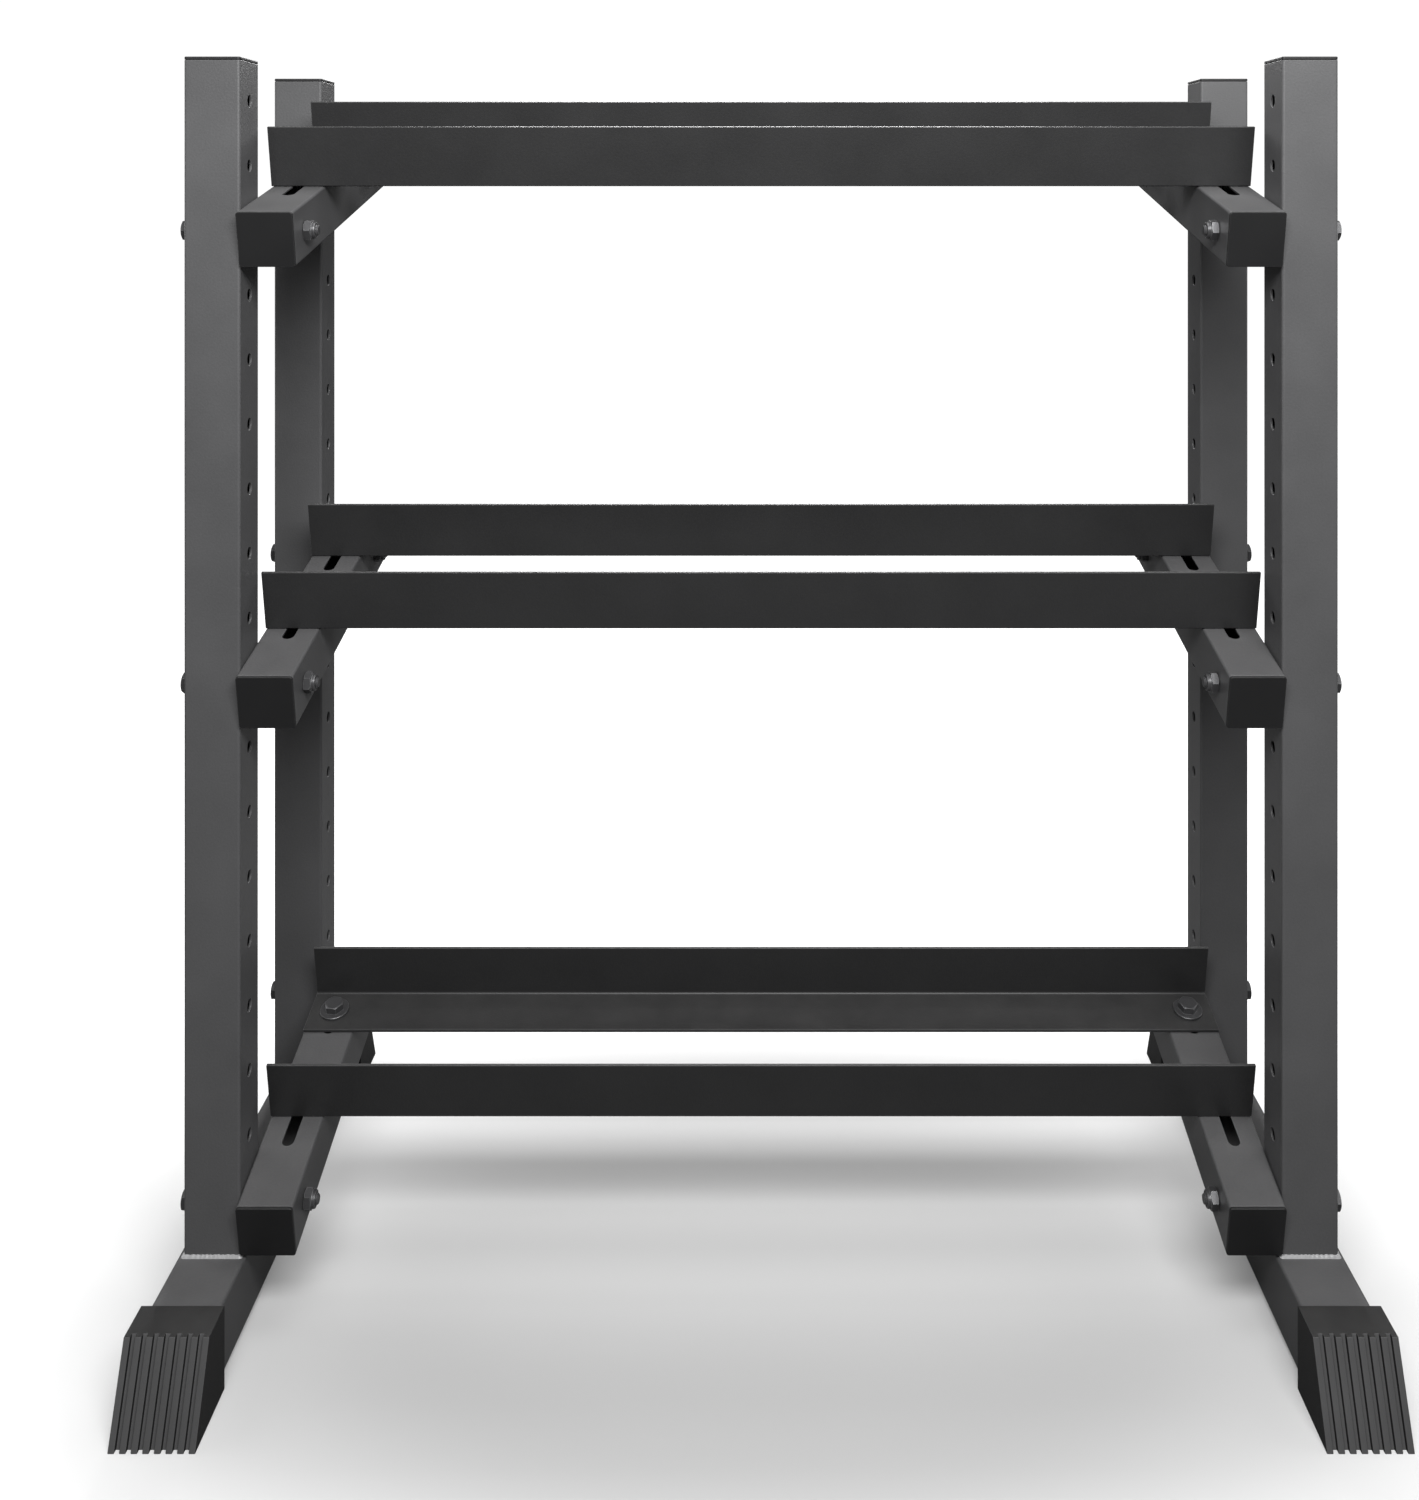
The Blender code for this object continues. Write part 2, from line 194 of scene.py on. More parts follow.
# %% Dust: a thin film on what faces up
dusty, dusty_in, dusty_out = new_group("settled_dust", {"Amount": 0.2}, ["Mask"])
facing = dusty.nodes.new("ShaderNodeNewGeometry")
parts = dusty.nodes.new("ShaderNodeSeparateXYZ")
dusty.links.new(facing.outputs["Normal"], parts.inputs[0])
level = math_node(dusty, "SUBTRACT", parts.outputs["Z"], 0.75, clamp=True)
level = math_node(dusty, "MULTIPLY", level, 4.0, clamp=True)
dust_place = dusty.nodes.new("ShaderNodeTexCoord")
drifts = dusty.nodes.new("ShaderNodeTexNoise")
drifts.inputs["Scale"].default_value = 38.0
drifts.inputs["Detail"].default_value = 6.0
dusty.links.new(dust_place.outputs["Object"], drifts.inputs["Vector"])
film = math_node(dusty, "MULTIPLY", level, drifts.outputs[0], clamp=True)
dusty.links.new(
    math_node(dusty, "MULTIPLY", film, dusty_in.outputs["Amount"], clamp=True),
    dusty_out.inputs["Mask"],
)
print("made the group settled_dust")

# %% [markdown]
# ## Finishes
#
# A finish is one Principled shader with the shared effects in front of it. The tone of the colour
# and its roughness drift a little with the slow noise. Then the edges, made lighter for wear and
# as a painted highlight, and the dust are mixed over the colour, and the fine skin becomes a bump.
# Gloss and metal are single numbers, so they are set on the shader itself.

# %% Mix two colours by a mask
def mix_colour(tree, mask, under, over):
    node = tree.nodes.new("ShaderNodeMix")
    node.data_type = "RGBA"
    tree.links.new(mask, node.inputs["Factor"])
    for socket, colour in ((node.inputs[6], under), (node.inputs[7], over)):
        if isinstance(colour, bpy.types.NodeSocket):
            tree.links.new(colour, socket)
        else:
            socket.default_value = (*colour, 1.0)
    return node.outputs[2]


def place_group(tree, group, **values):
    node = tree.nodes.new("ShaderNodeGroup")
    node.node_tree = group
    for label, value in values.items():
        node.inputs[label].default_value = value
    return node


# %% Put a finish together
def make_finish(name, colour, drift, edge, rough, gloss, metal, fineness, depth, dust):
    """colour drifts by a share, edge is (colour, width, amount) of the worn and painted-highlight
    edges, and rough is (low, high).
    """
    finish = bpy.data.materials.new(name)
    finish.use_nodes = True
    tree = finish.node_tree
    shader = tree.nodes["Principled BSDF"]
    shader.inputs["Metallic"].default_value = metal
    shader.inputs["Specular IOR Level"].default_value = gloss
    surface = place_group(tree, skin, Fineness=fineness)
    edges = place_group(tree, wear_and_highlight, Width=edge[1])
    film = place_group(tree, dusty, Amount=dust)
    light = [channel * (1 + drift) for channel in colour]
    dark = [channel * (1 - drift) for channel in colour]
    toned = mix_colour(tree, surface.outputs["Tone"], dark, light)
    # painted highlight: edges are mixed towards a lighter colour, partly for wear and partly for
    # the light a rounded edge catches
    edge_wear_and_highlight_share = math_node(tree, "MULTIPLY", edges.outputs["Mask"], edge[2], clamp=True)
    toned = mix_colour(tree, edge_wear_and_highlight_share, toned, edge[0])
    toned = mix_colour(tree, film.outputs["Mask"], toned, (0.30, 0.29, 0.28))
    tree.links.new(toned, shader.inputs["Base Color"])
    sheen = math_node(tree, "MULTIPLY_ADD", surface.outputs["Tone"], rough[1] - rough[0])
    sheen.node.inputs[2].default_value = rough[0]
    tree.links.new(
        math_node(tree, "MAXIMUM", sheen, film.outputs["Mask"], clamp=True),
        shader.inputs["Roughness"],
    )
    bump = tree.nodes.new("ShaderNodeBump")
    bump.inputs["Distance"].default_value = depth
    tree.links.new(surface.outputs["Height"], bump.inputs["Height"])
    tree.links.new(bump.outputs["Normal"], shader.inputs["Normal"])
    return finish


# %% The seven finishes of the rack
# each edge colour is lighter than its finish: partly wear, partly a painted highlight
frame_paint = make_finish(
    "dark_grey_powder_coat", (0.078, 0.078, 0.080), 0.32, ((0.20, 0.20, 0.205), 0.0012, 1.0),
    (0.34, 0.48), 0.5, 0.0, 520.0, 0.00012, 0.10,
)
# painted shade: the rails get a much darker copy of the frame's powder coat, standing in for the
# shade that dumbbells on them would cast
rail_paint_painted_shade = make_finish(
    "charcoal_powder_coat", (0.022, 0.022, 0.0225), 0.35, ((0.15, 0.15, 0.155), 0.0012, 1.0),
    (0.36, 0.50), 0.45, 0.0, 520.0, 0.00012, 0.08,
)
cap_plastic = make_finish(
    "black_moulded_plastic", (0.010, 0.010, 0.0105), 0.35, ((0.11, 0.11, 0.112), 0.0010, 1.0),
    (0.42, 0.58), 0.42, 0.0, 2600.0, 0.00005, 0.05,
)
shoe_rubber = make_finish(
    "black_moulded_rubber", (0.010, 0.010, 0.0103), 0.35, ((0.055, 0.055, 0.056), 0.0010, 0.5),
    (0.50, 0.66), 0.45, 0.0, 2000.0, 0.00010, 0.08,
)
# painted light: a lighter copy of the rubber for the toe's ribs, standing in for the light that
# falls on the sloping toe
rib_rubber_painted_light = make_finish(
    "scuffed_rubber_ribs", (0.060, 0.060, 0.061), 0.40, ((0.11, 0.11, 0.112), 0.0012, 0.6),
    (0.52, 0.70), 0.45, 0.0, 1500.0, 0.00012, 0.08,
)
bolt_steel = make_finish(
    "black_oxide_steel", (0.085, 0.085, 0.088), 0.20, ((0.42, 0.42, 0.43), 0.0008, 1.0),
    (0.30, 0.46), 0.5, 0.6, 3200.0, 0.00003, 0.03,
)
# painted highlight: the weld's paint is much lighter than the frame's, so that the bead shows as a
# bright line
weld_highlight_paint = make_finish(
    "paint_over_weld", (0.34, 0.34, 0.345), 0.22, ((0.50, 0.50, 0.505), 0.0008, 0.8),
    (0.26, 0.40), 0.5, 0.0, 700.0, 0.00010, 0.06,
)
print("finishes:", ", ".join(material.name for material in bpy.data.materials))

# %% [markdown]
# ## Turning a bmesh into a piece of the rack
#
# Every piece is shaped near the origin, where its sizes are easy to think about, and then moved to
# its place in the rack. The move goes into the mesh and not into the object, so that a pattern
# that is drawn in object space stays where it is. No real edge is perfectly sharp, so pressed and
# sawn edges get a narrow bevel, and weighted normals keep the flat faces flat beside it.

# %% Finish a piece and tie it to its body
SOFT_TUBE = 0.35 * MM
SOFT_RAIL = 0.3 * MM
SOFT_CAP = 0.5 * MM
SOFT_SHOE = 0.6 * MM
BOLT_CRISP = 22  # degrees, so that the turned chamfers of the hexagons stay crisp


def add_piece(name, bm, place, body, finishes, node=None, soften=0.0, crisp=40):
    """A piece at place that moves with body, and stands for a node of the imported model."""
    bmesh.ops.transform(bm, matrix=place, verts=bm.verts)
    mesh = bpy.data.meshes.new(name)
    bm.to_mesh(mesh)
    bm.free()
    mesh.shade_smooth()
    for finish in finishes:
        mesh.materials.append(finish)
    piece = bpy.data.objects.new(name, mesh)
    bpy.context.scene.collection.objects.link(piece)
    if soften:
        bevel = piece.modifiers.new("soft_edges", "BEVEL")
        bevel.width = soften
        bevel.segments = 2
        bevel.limit_method = "ANGLE"
        bevel.angle_limit = math.radians(40)
        bevel.use_clamp_overlap = False
        piece.modifiers.new("flat_faces_stay_flat", "WEIGHTED_NORMAL")
    else:
        mesh.set_sharp_from_angle(angle=math.radians(crisp))
    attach(piece, body)
    if node:
        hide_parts(node)
    return piece


# %% Cut one bmesh with another
def carve(bm, tool, operation="DIFFERENCE"):
    """A Boolean of two bmeshes, by way of two objects that are gone again afterwards."""
    objects = []
    for part, role in ((bm, "blank"), (tool, "tool")):
        mesh = bpy.data.meshes.new(role)
        bmesh.ops.recalc_face_normals(part, faces=part.faces)
        part.to_mesh(mesh)
        part.free()
        objects.append(bpy.data.objects.new(role, mesh))
        bpy.context.scene.collection.objects.link(objects[-1])
    cut = objects[0].modifiers.new("cut", "BOOLEAN")
    cut.operation = operation
    cut.solver = "EXACT"
    cut.object = objects[1]
    result = bmesh.new()
    result.from_object(objects[0], bpy.context.evaluated_depsgraph_get())
    for done in objects:
        bpy.data.meshes.remove(done.data)
    return result


def joined(*parts):
    """One bmesh with the faces of several."""
    whole = bmesh.new()
    for part in parts:
        mesh = bpy.data.meshes.new("part")
        part.to_mesh(mesh)
        part.free()
        whole.from_mesh(mesh)
        bpy.data.meshes.remove(mesh)
    return whole


# %% [markdown]
# ## Square tube
#
# Cold-rolled square tube has a small radius on its corners, and a hollow that keeps the same
# wall all round. One square face is enough to start: a vertex bevel rounds its corners, an inset
# marks out the wall, the middle is taken away, and the ring that is left is pulled to length.

# %% Round the corners of a square and pull it to length
WALL = 2 * MM
TUBE_CORNER = 2.5 * MM


def rounded_square(side, corner):
    bm = bmesh.new()
    bmesh.ops.create_grid(bm, x_segments=1, y_segments=1, size=side / 2)
    bmesh.ops.bevel(
        bm, geom=bm.verts[:], offset=corner, offset_type="OFFSET", segments=6,
        profile=0.5, affect="VERTICES", material=-1,
    )
    return bm


def pull(bm, length):
    """Pulls every face up by length. The first faces stay as the bottom."""
    pulled = bmesh.ops.extrude_face_region(bm, geom=bm.faces[:])["geom"]
    risen = [item for item in pulled if isinstance(item, bmesh.types.BMVert)]
    bmesh.ops.translate(bm, verts=risen, vec=(0, 0, length))
    bmesh.ops.recalc_face_normals(bm, faces=bm.faces)
    return bm


def square_tube(side, length):
    """An open square tube that stands on Z 0."""
    bm = rounded_square(side, TUBE_CORNER)
    bmesh.ops.inset_region(
        bm, faces=bm.faces[:], thickness=WALL, use_even_offset=True, use_boundary=True
    )
    centre = min(bm.faces, key=lambda face: face.calc_center_median().length)
    bmesh.ops.delete(bm, geom=[centre], context="FACES_ONLY")
    return pull(bm, length)


def turn_bm(bm, angle, axis):
    bmesh.ops.rotate(bm, verts=bm.verts, matrix=Matrix.Rotation(angle, 3, axis))
    return bm


# %% [markdown]
# ## Uprights
#
# Each upright has a row of cross holes, all the way up, so that a tier can be bolted on at any
# height. The holes go through the inner and the outer wall. A row of long round rods cuts them in
# one Boolean, which leaves a clean rim for the bevel to soften.

# %% Rods that drill holes along X
HOLE_RADIUS = 5.5 * MM


def rods(points):
    """Long rods along X through the given points (y, z)."""
    bm = bmesh.new()
    for y, z in points:
        bmesh.ops.create_cone(
            bm, cap_ends=True, segments=32, radius1=HOLE_RADIUS, radius2=HOLE_RADIUS, depth=0.1,
            matrix=Matrix.Translation((0, y, z)) @ Matrix.Rotation(math.pi / 2, 4, "Y"),
        )
    return bm


# %% Make one upright and set up four of them
low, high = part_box("left_front_upright")
TUBE_SIDE = high.x - low.x
foot_z = low.z
hole_count = int((high.z - FIRST_HOLE_Z) / HOLE_PITCH) + 1
hole_heights = [FIRST_HOLE_Z + step * HOLE_PITCH - foot_z for step in range(hole_count)]
upright = carve(square_tube(TUBE_SIDE, high.z - foot_z), rods([(0, z) for z in hole_heights]))
for side in SIDES:
    for end in ENDS:
        node = f"{side}_{end}_upright"
        stand = middle(node)
        place = Matrix.Translation((stand.x, stand.y, foot_z))
        add_piece(f"{node}_tube", upright.copy(), place, "frame", [frame_paint],
                  node, soften=SOFT_TUBE)
upright.free()
print("each upright has", hole_count, "holes through two walls")

# %% [markdown]
# ## Feet and the welds on them
#
# A foot tube is a larger square tube that lies on its side. The two uprights are welded to it, and
# the paint runs over the weld. The bead is a ring round the upright's foot: the outline of the
# upright, grown a little at the bottom, with the slow ripple that a welder's hand leaves. Its
# paint is much lighter than the frame's: a painted highlight for the bright line along the weld.

# %% Lay the foot tubes down
for side in SIDES:
    node = f"{side}_foot_tube"
    low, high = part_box(node)
    lying = turn_bm(square_tube(high.x - low.x, high.y - low.y), -math.pi / 2, "X")
    place = Matrix.Translation(((low.x + high.x) / 2, low.y, (low.z + high.z) / 2))
    add_piece(f"{node}_steel", lying, place, "frame", [frame_paint], node,
              soften=SOFT_TUBE)
print("foot tubes are", round((high.y - low.y) / MM), "mm long")

# %% Run a weld bead round the foot of each upright
BEAD = 2.3 * MM


def weld_bead(side):
    """A ring of weld with its root at Z 0, round a tube of the given side."""
    bm = rounded_square(side, TUBE_CORNER)
    straight = [edge for edge in bm.edges if edge.calc_length() > 10 * MM]
    bmesh.ops.subdivide_edges(bm, edges=straight, cuts=60)
    bmesh.ops.delete(bm, geom=bm.faces[:], context="FACES_ONLY")
    rings = [bm.edges[:]]
    for grow, rise in ((0.0, BEAD), (0.62, -0.25 * BEAD), (0.38, -0.75 * BEAD)):
        lifted = bmesh.ops.extrude_edge_only(bm, edges=rings[-1])["geom"]
        points = [item for item in lifted if isinstance(item, bmesh.types.BMVert)]
        reach = 1 + grow * BEAD / (side / 2)
        bmesh.ops.scale(bm, verts=points, vec=(reach, reach, 1))
        bmesh.ops.translate(bm, verts=points, vec=(0, 0, rise))
        rings.append([item for item in lifted if isinstance(item, bmesh.types.BMEdge)])
    bmesh.ops.bridge_loops(bm, edges=rings[0] + rings[-1])
    for point in bm.verts:
        way = math.atan2(point.co.y, point.co.x)
        if point.co.z > 0.1 * MM:
            point.co.z *= 1 + 0.10 * math.sin(way * 46) + 0.05 * math.sin(way * 17)
    bmesh.ops.recalc_face_normals(bm, faces=bm.faces)
    return bm


foot_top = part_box("left_foot_tube")[1].z
for side in SIDES:
    for end in ENDS:
        stand = middle(f"{side}_{end}_upright")
        place = Matrix.Translation((stand.x, stand.y, foot_top + 0.02 * MM))
        add_piece(f"{side}_{end}_weld", weld_bead(TUBE_SIDE + 0.1 * MM), place, "frame",
                  [weld_highlight_paint])
print(f"four weld beads, {BEAD / MM:.1f} mm high")

# %% [markdown]
# ## Rubber shoes
#
# The ends of the foot tubes stand in moulded shoes. A shoe is a block with a sloping toe, a square
# pocket for the tube and a row of ribs that run down the toe. The block starts as a cube whose
# front corners are moved, and both the pocket and the grooves between the ribs are cut away.

# %% Shape a shoe with its toe towards +Y
GROOVES = 7
GROOVE_WIDTH = 3.8 * MM
GROOVE_DEPTH = 4.0 * MM
TOE_SETBACK = 31.5 * MM  # how far the toe leans back over the shoe's height
TOE_WALL = 38 * MM  # what is left between the pocket and the toe, at the floor
POCKET = 60.6 * MM
SOLE = 3.7 * MM


def shoe(width, length, height, pocket, sole):
    """A shoe whose toe is at Y 0 on the floor and whose mouth is at -length."""
    block = bmesh.new()
    bmesh.ops.create_cube(block, size=1)
    bmesh.ops.scale(block, verts=block.verts, vec=(width, length, height))
    bmesh.ops.translate(block, verts=block.verts, vec=(0, -length / 2, height / 2))
    toe_top = [v for v in block.verts if v.co.y > -length / 2 and v.co.z > height / 2]
    bmesh.ops.translate(block, verts=toe_top, vec=(0, -TOE_SETBACK, 0))
    hollow = pull(rounded_square(pocket, TUBE_CORNER), length)
    turn_bm(hollow, -math.pi / 2, "X")
    bmesh.ops.translate(hollow, verts=hollow.verts, vec=(0, -length - TOE_WALL, sole + pocket / 2))
    block = carve(block, hollow)
    return carve(block, grooves(width, height))


def grooves(width, height):
    """Bars that lean as the toe does."""
    rib = (width - GROOVES * GROOVE_WIDTH) / (GROOVES + 1)
    lean = -TOE_SETBACK / height
    bars = bmesh.new()
    for index in range(GROOVES):
        bar = bmesh.ops.create_cube(bars, size=1)["verts"]
        bmesh.ops.scale(bars, verts=bar, vec=(GROOVE_WIDTH, 30 * MM, height + 20 * MM))
        centre = -width / 2 + rib + GROOVE_WIDTH / 2 + index * (rib + GROOVE_WIDTH)
        bmesh.ops.translate(bars, verts=bar, vec=(centre, 15 * MM - GROOVE_DEPTH, height / 2))
        for point in bar:
            point.co.y += lean * point.co.z
    return bars


# %% Fit the four shoes
for side in SIDES:
    for end, way in ENDS.items():
        node = f"{side}_{end}_shoe"
        low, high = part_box(node)
        turned_round = Matrix.Rotation(0 if way > 0 else math.pi, 4, "Z")
        toe = (middle(node).x, high.y if way > 0 else low.y, low.z)
        moulded = shoe(high.x - low.x, high.y - low.y, high.z - low.z, POCKET, SOLE)
        # painted light: the faces that look out over the toe and up get the lighter rubber
        for face in moulded.faces:
            if face.normal.y > 0.7 and face.normal.z > 0.2:
                face.material_index = 1
        add_piece(f"{node}_moulding", moulded, Matrix.Translation(toe) @ turned_round, "frame",
                  [shoe_rubber, rib_rubber_painted_light], node, soften=SOFT_SHOE)
print("four shoes with", GROOVES + 1, "ribs each")

# %% [markdown]
# ## Plastic caps
#
# A cap is a thin flange over the tube's end with a plug below it that grips the inside. It is the
# same rounded square again: the flange is pulled up, and its underside is inset and pulled down
# for the plug.

# %% Make a cap whose flange sits on Z 0
CAP_GAP = 0.3 * MM
PLUG_DEPTH = 14 * MM


def tube_cap(flange):
    bm = pull(rounded_square(TUBE_SIDE, TUBE_CORNER), flange - CAP_GAP)
    bmesh.ops.translate(bm, verts=bm.verts, vec=(0, 0, CAP_GAP))
    under = min(bm.faces, key=lambda face: face.calc_center_median().z)
    bmesh.ops.inset_region(bm, faces=[under], thickness=WALL + CAP_GAP, use_even_offset=True)
    plug = bmesh.ops.extrude_face_region(bm, geom=[under])["geom"]
    sunk = [item for item in plug if isinstance(item, bmesh.types.BMVert)]
    bmesh.ops.translate(bm, verts=sunk, vec=(0, 0, -PLUG_DEPTH))
    if under.is_valid:
        bmesh.ops.delete(bm, geom=[under], context="FACES_ONLY")
    bmesh.ops.recalc_face_normals(bm, faces=bm.faces)
    return bm


# %% Cap the uprights and both ends of the arms
CAP_FLANGE = 3 * MM
for side in SIDES:
    for end in ENDS:
        stand = middle(f"{side}_{end}_upright")
        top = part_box(f"{side}_{end}_upright")[1].z
        place = Matrix.Translation((stand.x, stand.y, top))
        node = f"{side}_{end}_upright_cap"
        add_piece(f"{node}_plug", tube_cap(CAP_FLANGE), place, "frame", [cap_plastic],
                  node, soften=SOFT_CAP)
    for tier in TIERS:
        place = arm_place(side, tier)
        reach = span(f"{side}_{tier}_arm", place)[1].y
        for end, way in ENDS.items():
            end_place = (
                place
                @ Matrix.Translation((0, way * reach, 0))
                @ Matrix.Rotation(-way * math.pi / 2, 4, "X")
            )
            node = f"{side}_{tier}_arm_front_cap" if end == "front" else None
            add_piece(f"{side}_{tier}_arm_{end}_plug", tube_cap(CAP_FLANGE), end_place, "frame",
                      [cap_plastic], node, soften=SOFT_CAP)
print("caps on 4 uprights and 12 arm ends")

# %% [markdown]
# ## Arms
#
# An arm has two bolt holes through its sides and, in its top and bottom, two slots in which the
# rails' bolts can travel. The joints of the model say how far they travel, so the slots are
# worked out from them: a slot runs from one limit to the other, with a round end at each.

# %% Work out the slots from the joints
def bolt_along(tier, end):
    """Where a rail's bolts sit along its arms."""
    low, high = span(f"{tier}_{end}_rail_left_bolt", tier_place(tier))
    return (low.y + high.y) / 2


def slot_span(end):
    joint = next(j for j in frame["joints"] if j["name"].startswith(f"bottom_{end}_rail"))
    return [bolt_along("bottom", end) + limit for limit in joint["range_m"]]


def slot_bar(first, last):
    """An upright bar with round ends, to cut one slot."""
    bm = bmesh.new()
    bmesh.ops.create_grid(bm, x_segments=1, y_segments=1, size=1)
    length = last - first + 2 * HOLE_RADIUS
    bmesh.ops.scale(bm, verts=bm.verts, vec=(HOLE_RADIUS, length / 2, 1))
    bmesh.ops.bevel(
        bm, geom=bm.verts[:], offset=HOLE_RADIUS * 0.999, offset_type="OFFSET", segments=10,
        profile=0.5, affect="VERTICES", material=-1,
    )
    bmesh.ops.translate(bm, verts=bm.verts, vec=(0, (first + last) / 2, -60 * MM))
    return pull(bm, 120 * MM)


# %% Make one arm and hang six of them
reach = span("left_bottom_arm", arm_place("left", "bottom"))[1].y
arm = turn_bm(square_tube(TUBE_SIDE, 2 * reach), -math.pi / 2, "X")
bmesh.ops.translate(arm, verts=arm.verts, vec=(0, -reach, 0))
bolt_middle = middle("left_bottom_arm_rear_bolt")
bolt_reach = abs((arm_place("left", "bottom").inverted() @ bolt_middle).y)
arm = carve(arm, rods([(-bolt_reach, 0), (bolt_reach, 0)]))
for end in ENDS:
    arm = carve(arm, slot_bar(*slot_span(end)))
for side in SIDES:
    for tier in TIERS:
        node = f"{side}_{tier}_arm"
        add_piece(f"{node}_tube", arm.copy(), arm_place(side, tier), "frame", [frame_paint],
                  node, soften=SOFT_TUBE)
arm.free()
print("slots along an arm in mm:", [[round(s / MM, 1) for s in slot_span(end)] for end in ENDS])

# %% [markdown]
# ## Rails
#
# A rail is a steel angle. Its flat leg lies on the arms and its other leg stands up, and the
# handles of the dumbbells lie across the upper edges of the standing legs. The section is drawn
# once as a flat face. Bending leaves a round inside the corner and a tighter one outside, and the
# rolled edges are slightly round too, so each kind of corner gets its own vertex bevel before the
# section is pulled to the rail's length.

# %% Draw the section of a rail
THICK = 3 * MM


def angle_section(flat_leg, standing_leg):
    """An L in the YZ plane with its outer corner at the origin and both legs positive."""
    bm = bmesh.new()
    outline = (
        (0, 0), (flat_leg, 0), (flat_leg, THICK), (THICK, THICK), (THICK, standing_leg),
        (0, standing_leg),
    )
    points = [bm.verts.new((0, y, z)) for y, z in outline]
    bm.faces.new(points)
    for chosen, radius in (([points[0]], 1.4), ([points[3]], 2.6), (points[1:3], 0.5),
                           (points[4:], 0.5)):
        bmesh.ops.bevel(
            bm, geom=chosen, offset=radius * MM, offset_type="OFFSET", segments=5,
            profile=0.5, affect="VERTICES", material=-1,
        )
    return bm


# %% Pull it to length and drill it
def rail(low, high, face, way, bolt_y, bolt_x):
    """A rail in its tier's frame. face is the outside of its standing leg, and way points to
    the tip of its flat leg."""
    bm = angle_section(high.y - low.y, high.z - low.z)
    pulled = bmesh.ops.extrude_face_region(bm, geom=bm.faces[:])["geom"]
    moved = [item for item in pulled if isinstance(item, bmesh.types.BMVert)]
    bmesh.ops.translate(bm, verts=moved, vec=(high.x - low.x, 0, 0))
    bmesh.ops.translate(bm, verts=bm.verts, vec=(low.x, 0, 0))
    bmesh.ops.scale(bm, verts=bm.verts, vec=(1, way, 1))
    bmesh.ops.translate(bm, verts=bm.verts, vec=(0, face, low.z))
    drills = bmesh.new()
    for x in (-bolt_x, bolt_x):
        bmesh.ops.create_cone(
            drills, cap_ends=True, segments=32, radius1=HOLE_RADIUS, radius2=HOLE_RADIUS,
            depth=20 * MM, matrix=Matrix.Translation((x, bolt_y, low.z)),
        )
    return carve(bm, drills)


def standing_side(node, place, low, high):
    """The side of a rail's box, -1 or 1 along Y, on which its standing leg is."""
    tall = [place.inverted() @ corner for corner in corners(node)]
    upper = [point.y for point in tall if point.z > (low.z + high.z) / 2]
    return 1 if sum(upper) / len(upper) > (low.y + high.y) / 2 else -1


for tier in TIERS:
    for end in ENDS:
        node = f"{tier}_{end}_rail"
        place = tier_place(tier)
        low, high = span(node, place)
        stands = standing_side(node, place, low, high)
        face = high.y if stands > 0 else low.y
        bolt_x = middle(f"{node}_right_bolt").x
        angle = rail(low, high, face, -stands, bolt_along(tier, end), bolt_x)
        add_piece(f"{node}_angle", angle, place, f"{node}_body", [rail_paint_painted_shade],
                  node, soften=SOFT_RAIL)
        leg = "rear" if stands > 0 else "front"
        print(f"{node}: {(high.x - low.x) / MM:.0f} mm long, leg stands to the {leg}")

# %% [markdown]
# ## Bolts, washers and nuts
#
# Everything round on a bolt is turned: a profile of a few points is spun about the bolt's axis.
# The hexagons are not round, but their chamfers are, because they are cut on a lathe. So a plain
# six-sided bar is made a little too tall and kept only where it lies inside a turned blank, which
# gives the curved line that every real bolt head shows at its corners. The nuts are the locking
# kind, with a collar that holds a ring of nylon.

# %% Turn a profile about Z
def turned(profile, steps=40):
    """Spins points (radius, z) about Z. The last point is joined to the first."""
    bm = bmesh.new()
    points = [bm.verts.new((radius, 0, z)) for radius, z in profile]
    ring = [bm.edges.new((a, b)) for a, b in zip(points, points[1:] + points[:1])
            if a.co.x > 0 or b.co.x > 0]
    bmesh.ops.spin(
        bm, geom=points + ring, cent=(0, 0, 0), axis=(0, 0, 1), angle=2 * math.pi, steps=steps,
        use_merge=True,
    )
    bmesh.ops.remove_doubles(bm, verts=bm.verts, dist=1e-6)
    bmesh.ops.recalc_face_normals(bm, faces=bm.faces)
    return bm


# %% Cut a hexagon with a turned chamfer
ACROSS_FLATS = 17 * MM
CORNER_RADIUS = ACROSS_FLATS / math.sqrt(3)


def hexagon_bar(low, high, foot_chamfer=False):
    """A hexagon along Z with a turned chamfer on top, and on its foot too if asked."""
    bar = bmesh.new()
    bmesh.ops.create_cone(
        bar, cap_ends=True, segments=6, radius1=CORNER_RADIUS, radius2=CORNER_RADIUS,
        depth=high - low + 4 * MM, matrix=Matrix.Translation((0, 0, (low + high) / 2)),
    )
    wide = CORNER_RADIUS * 1.02
    narrow = ACROSS_FLATS / 2 * 0.95
    fall = (wide - narrow) * math.tan(math.radians(28))
    profile = [(0, low)]
    profile += [(narrow, low), (wide, low + fall)] if foot_chamfer else [(wide, low)]
    profile += [(wide, high - fall), (narrow, high), (0, high)]
    bar = carve(bar, turned(profile), "INTERSECT")
    # the Boolean leaves some corners twice, a hair apart
    bmesh.ops.remove_doubles(bar, verts=bar.verts, dist=0.01 * MM)
    return bar


# %% A washer, and the threaded tail of a bolt
def washer(radius, low, high):
    rim = 0.3 * MM
    return turned([
        (5.3 * MM, low), (radius - rim, low), (radius, low + rim), (radius, high - rim),
        (radius - rim, high), (5.3 * MM, high),
    ])


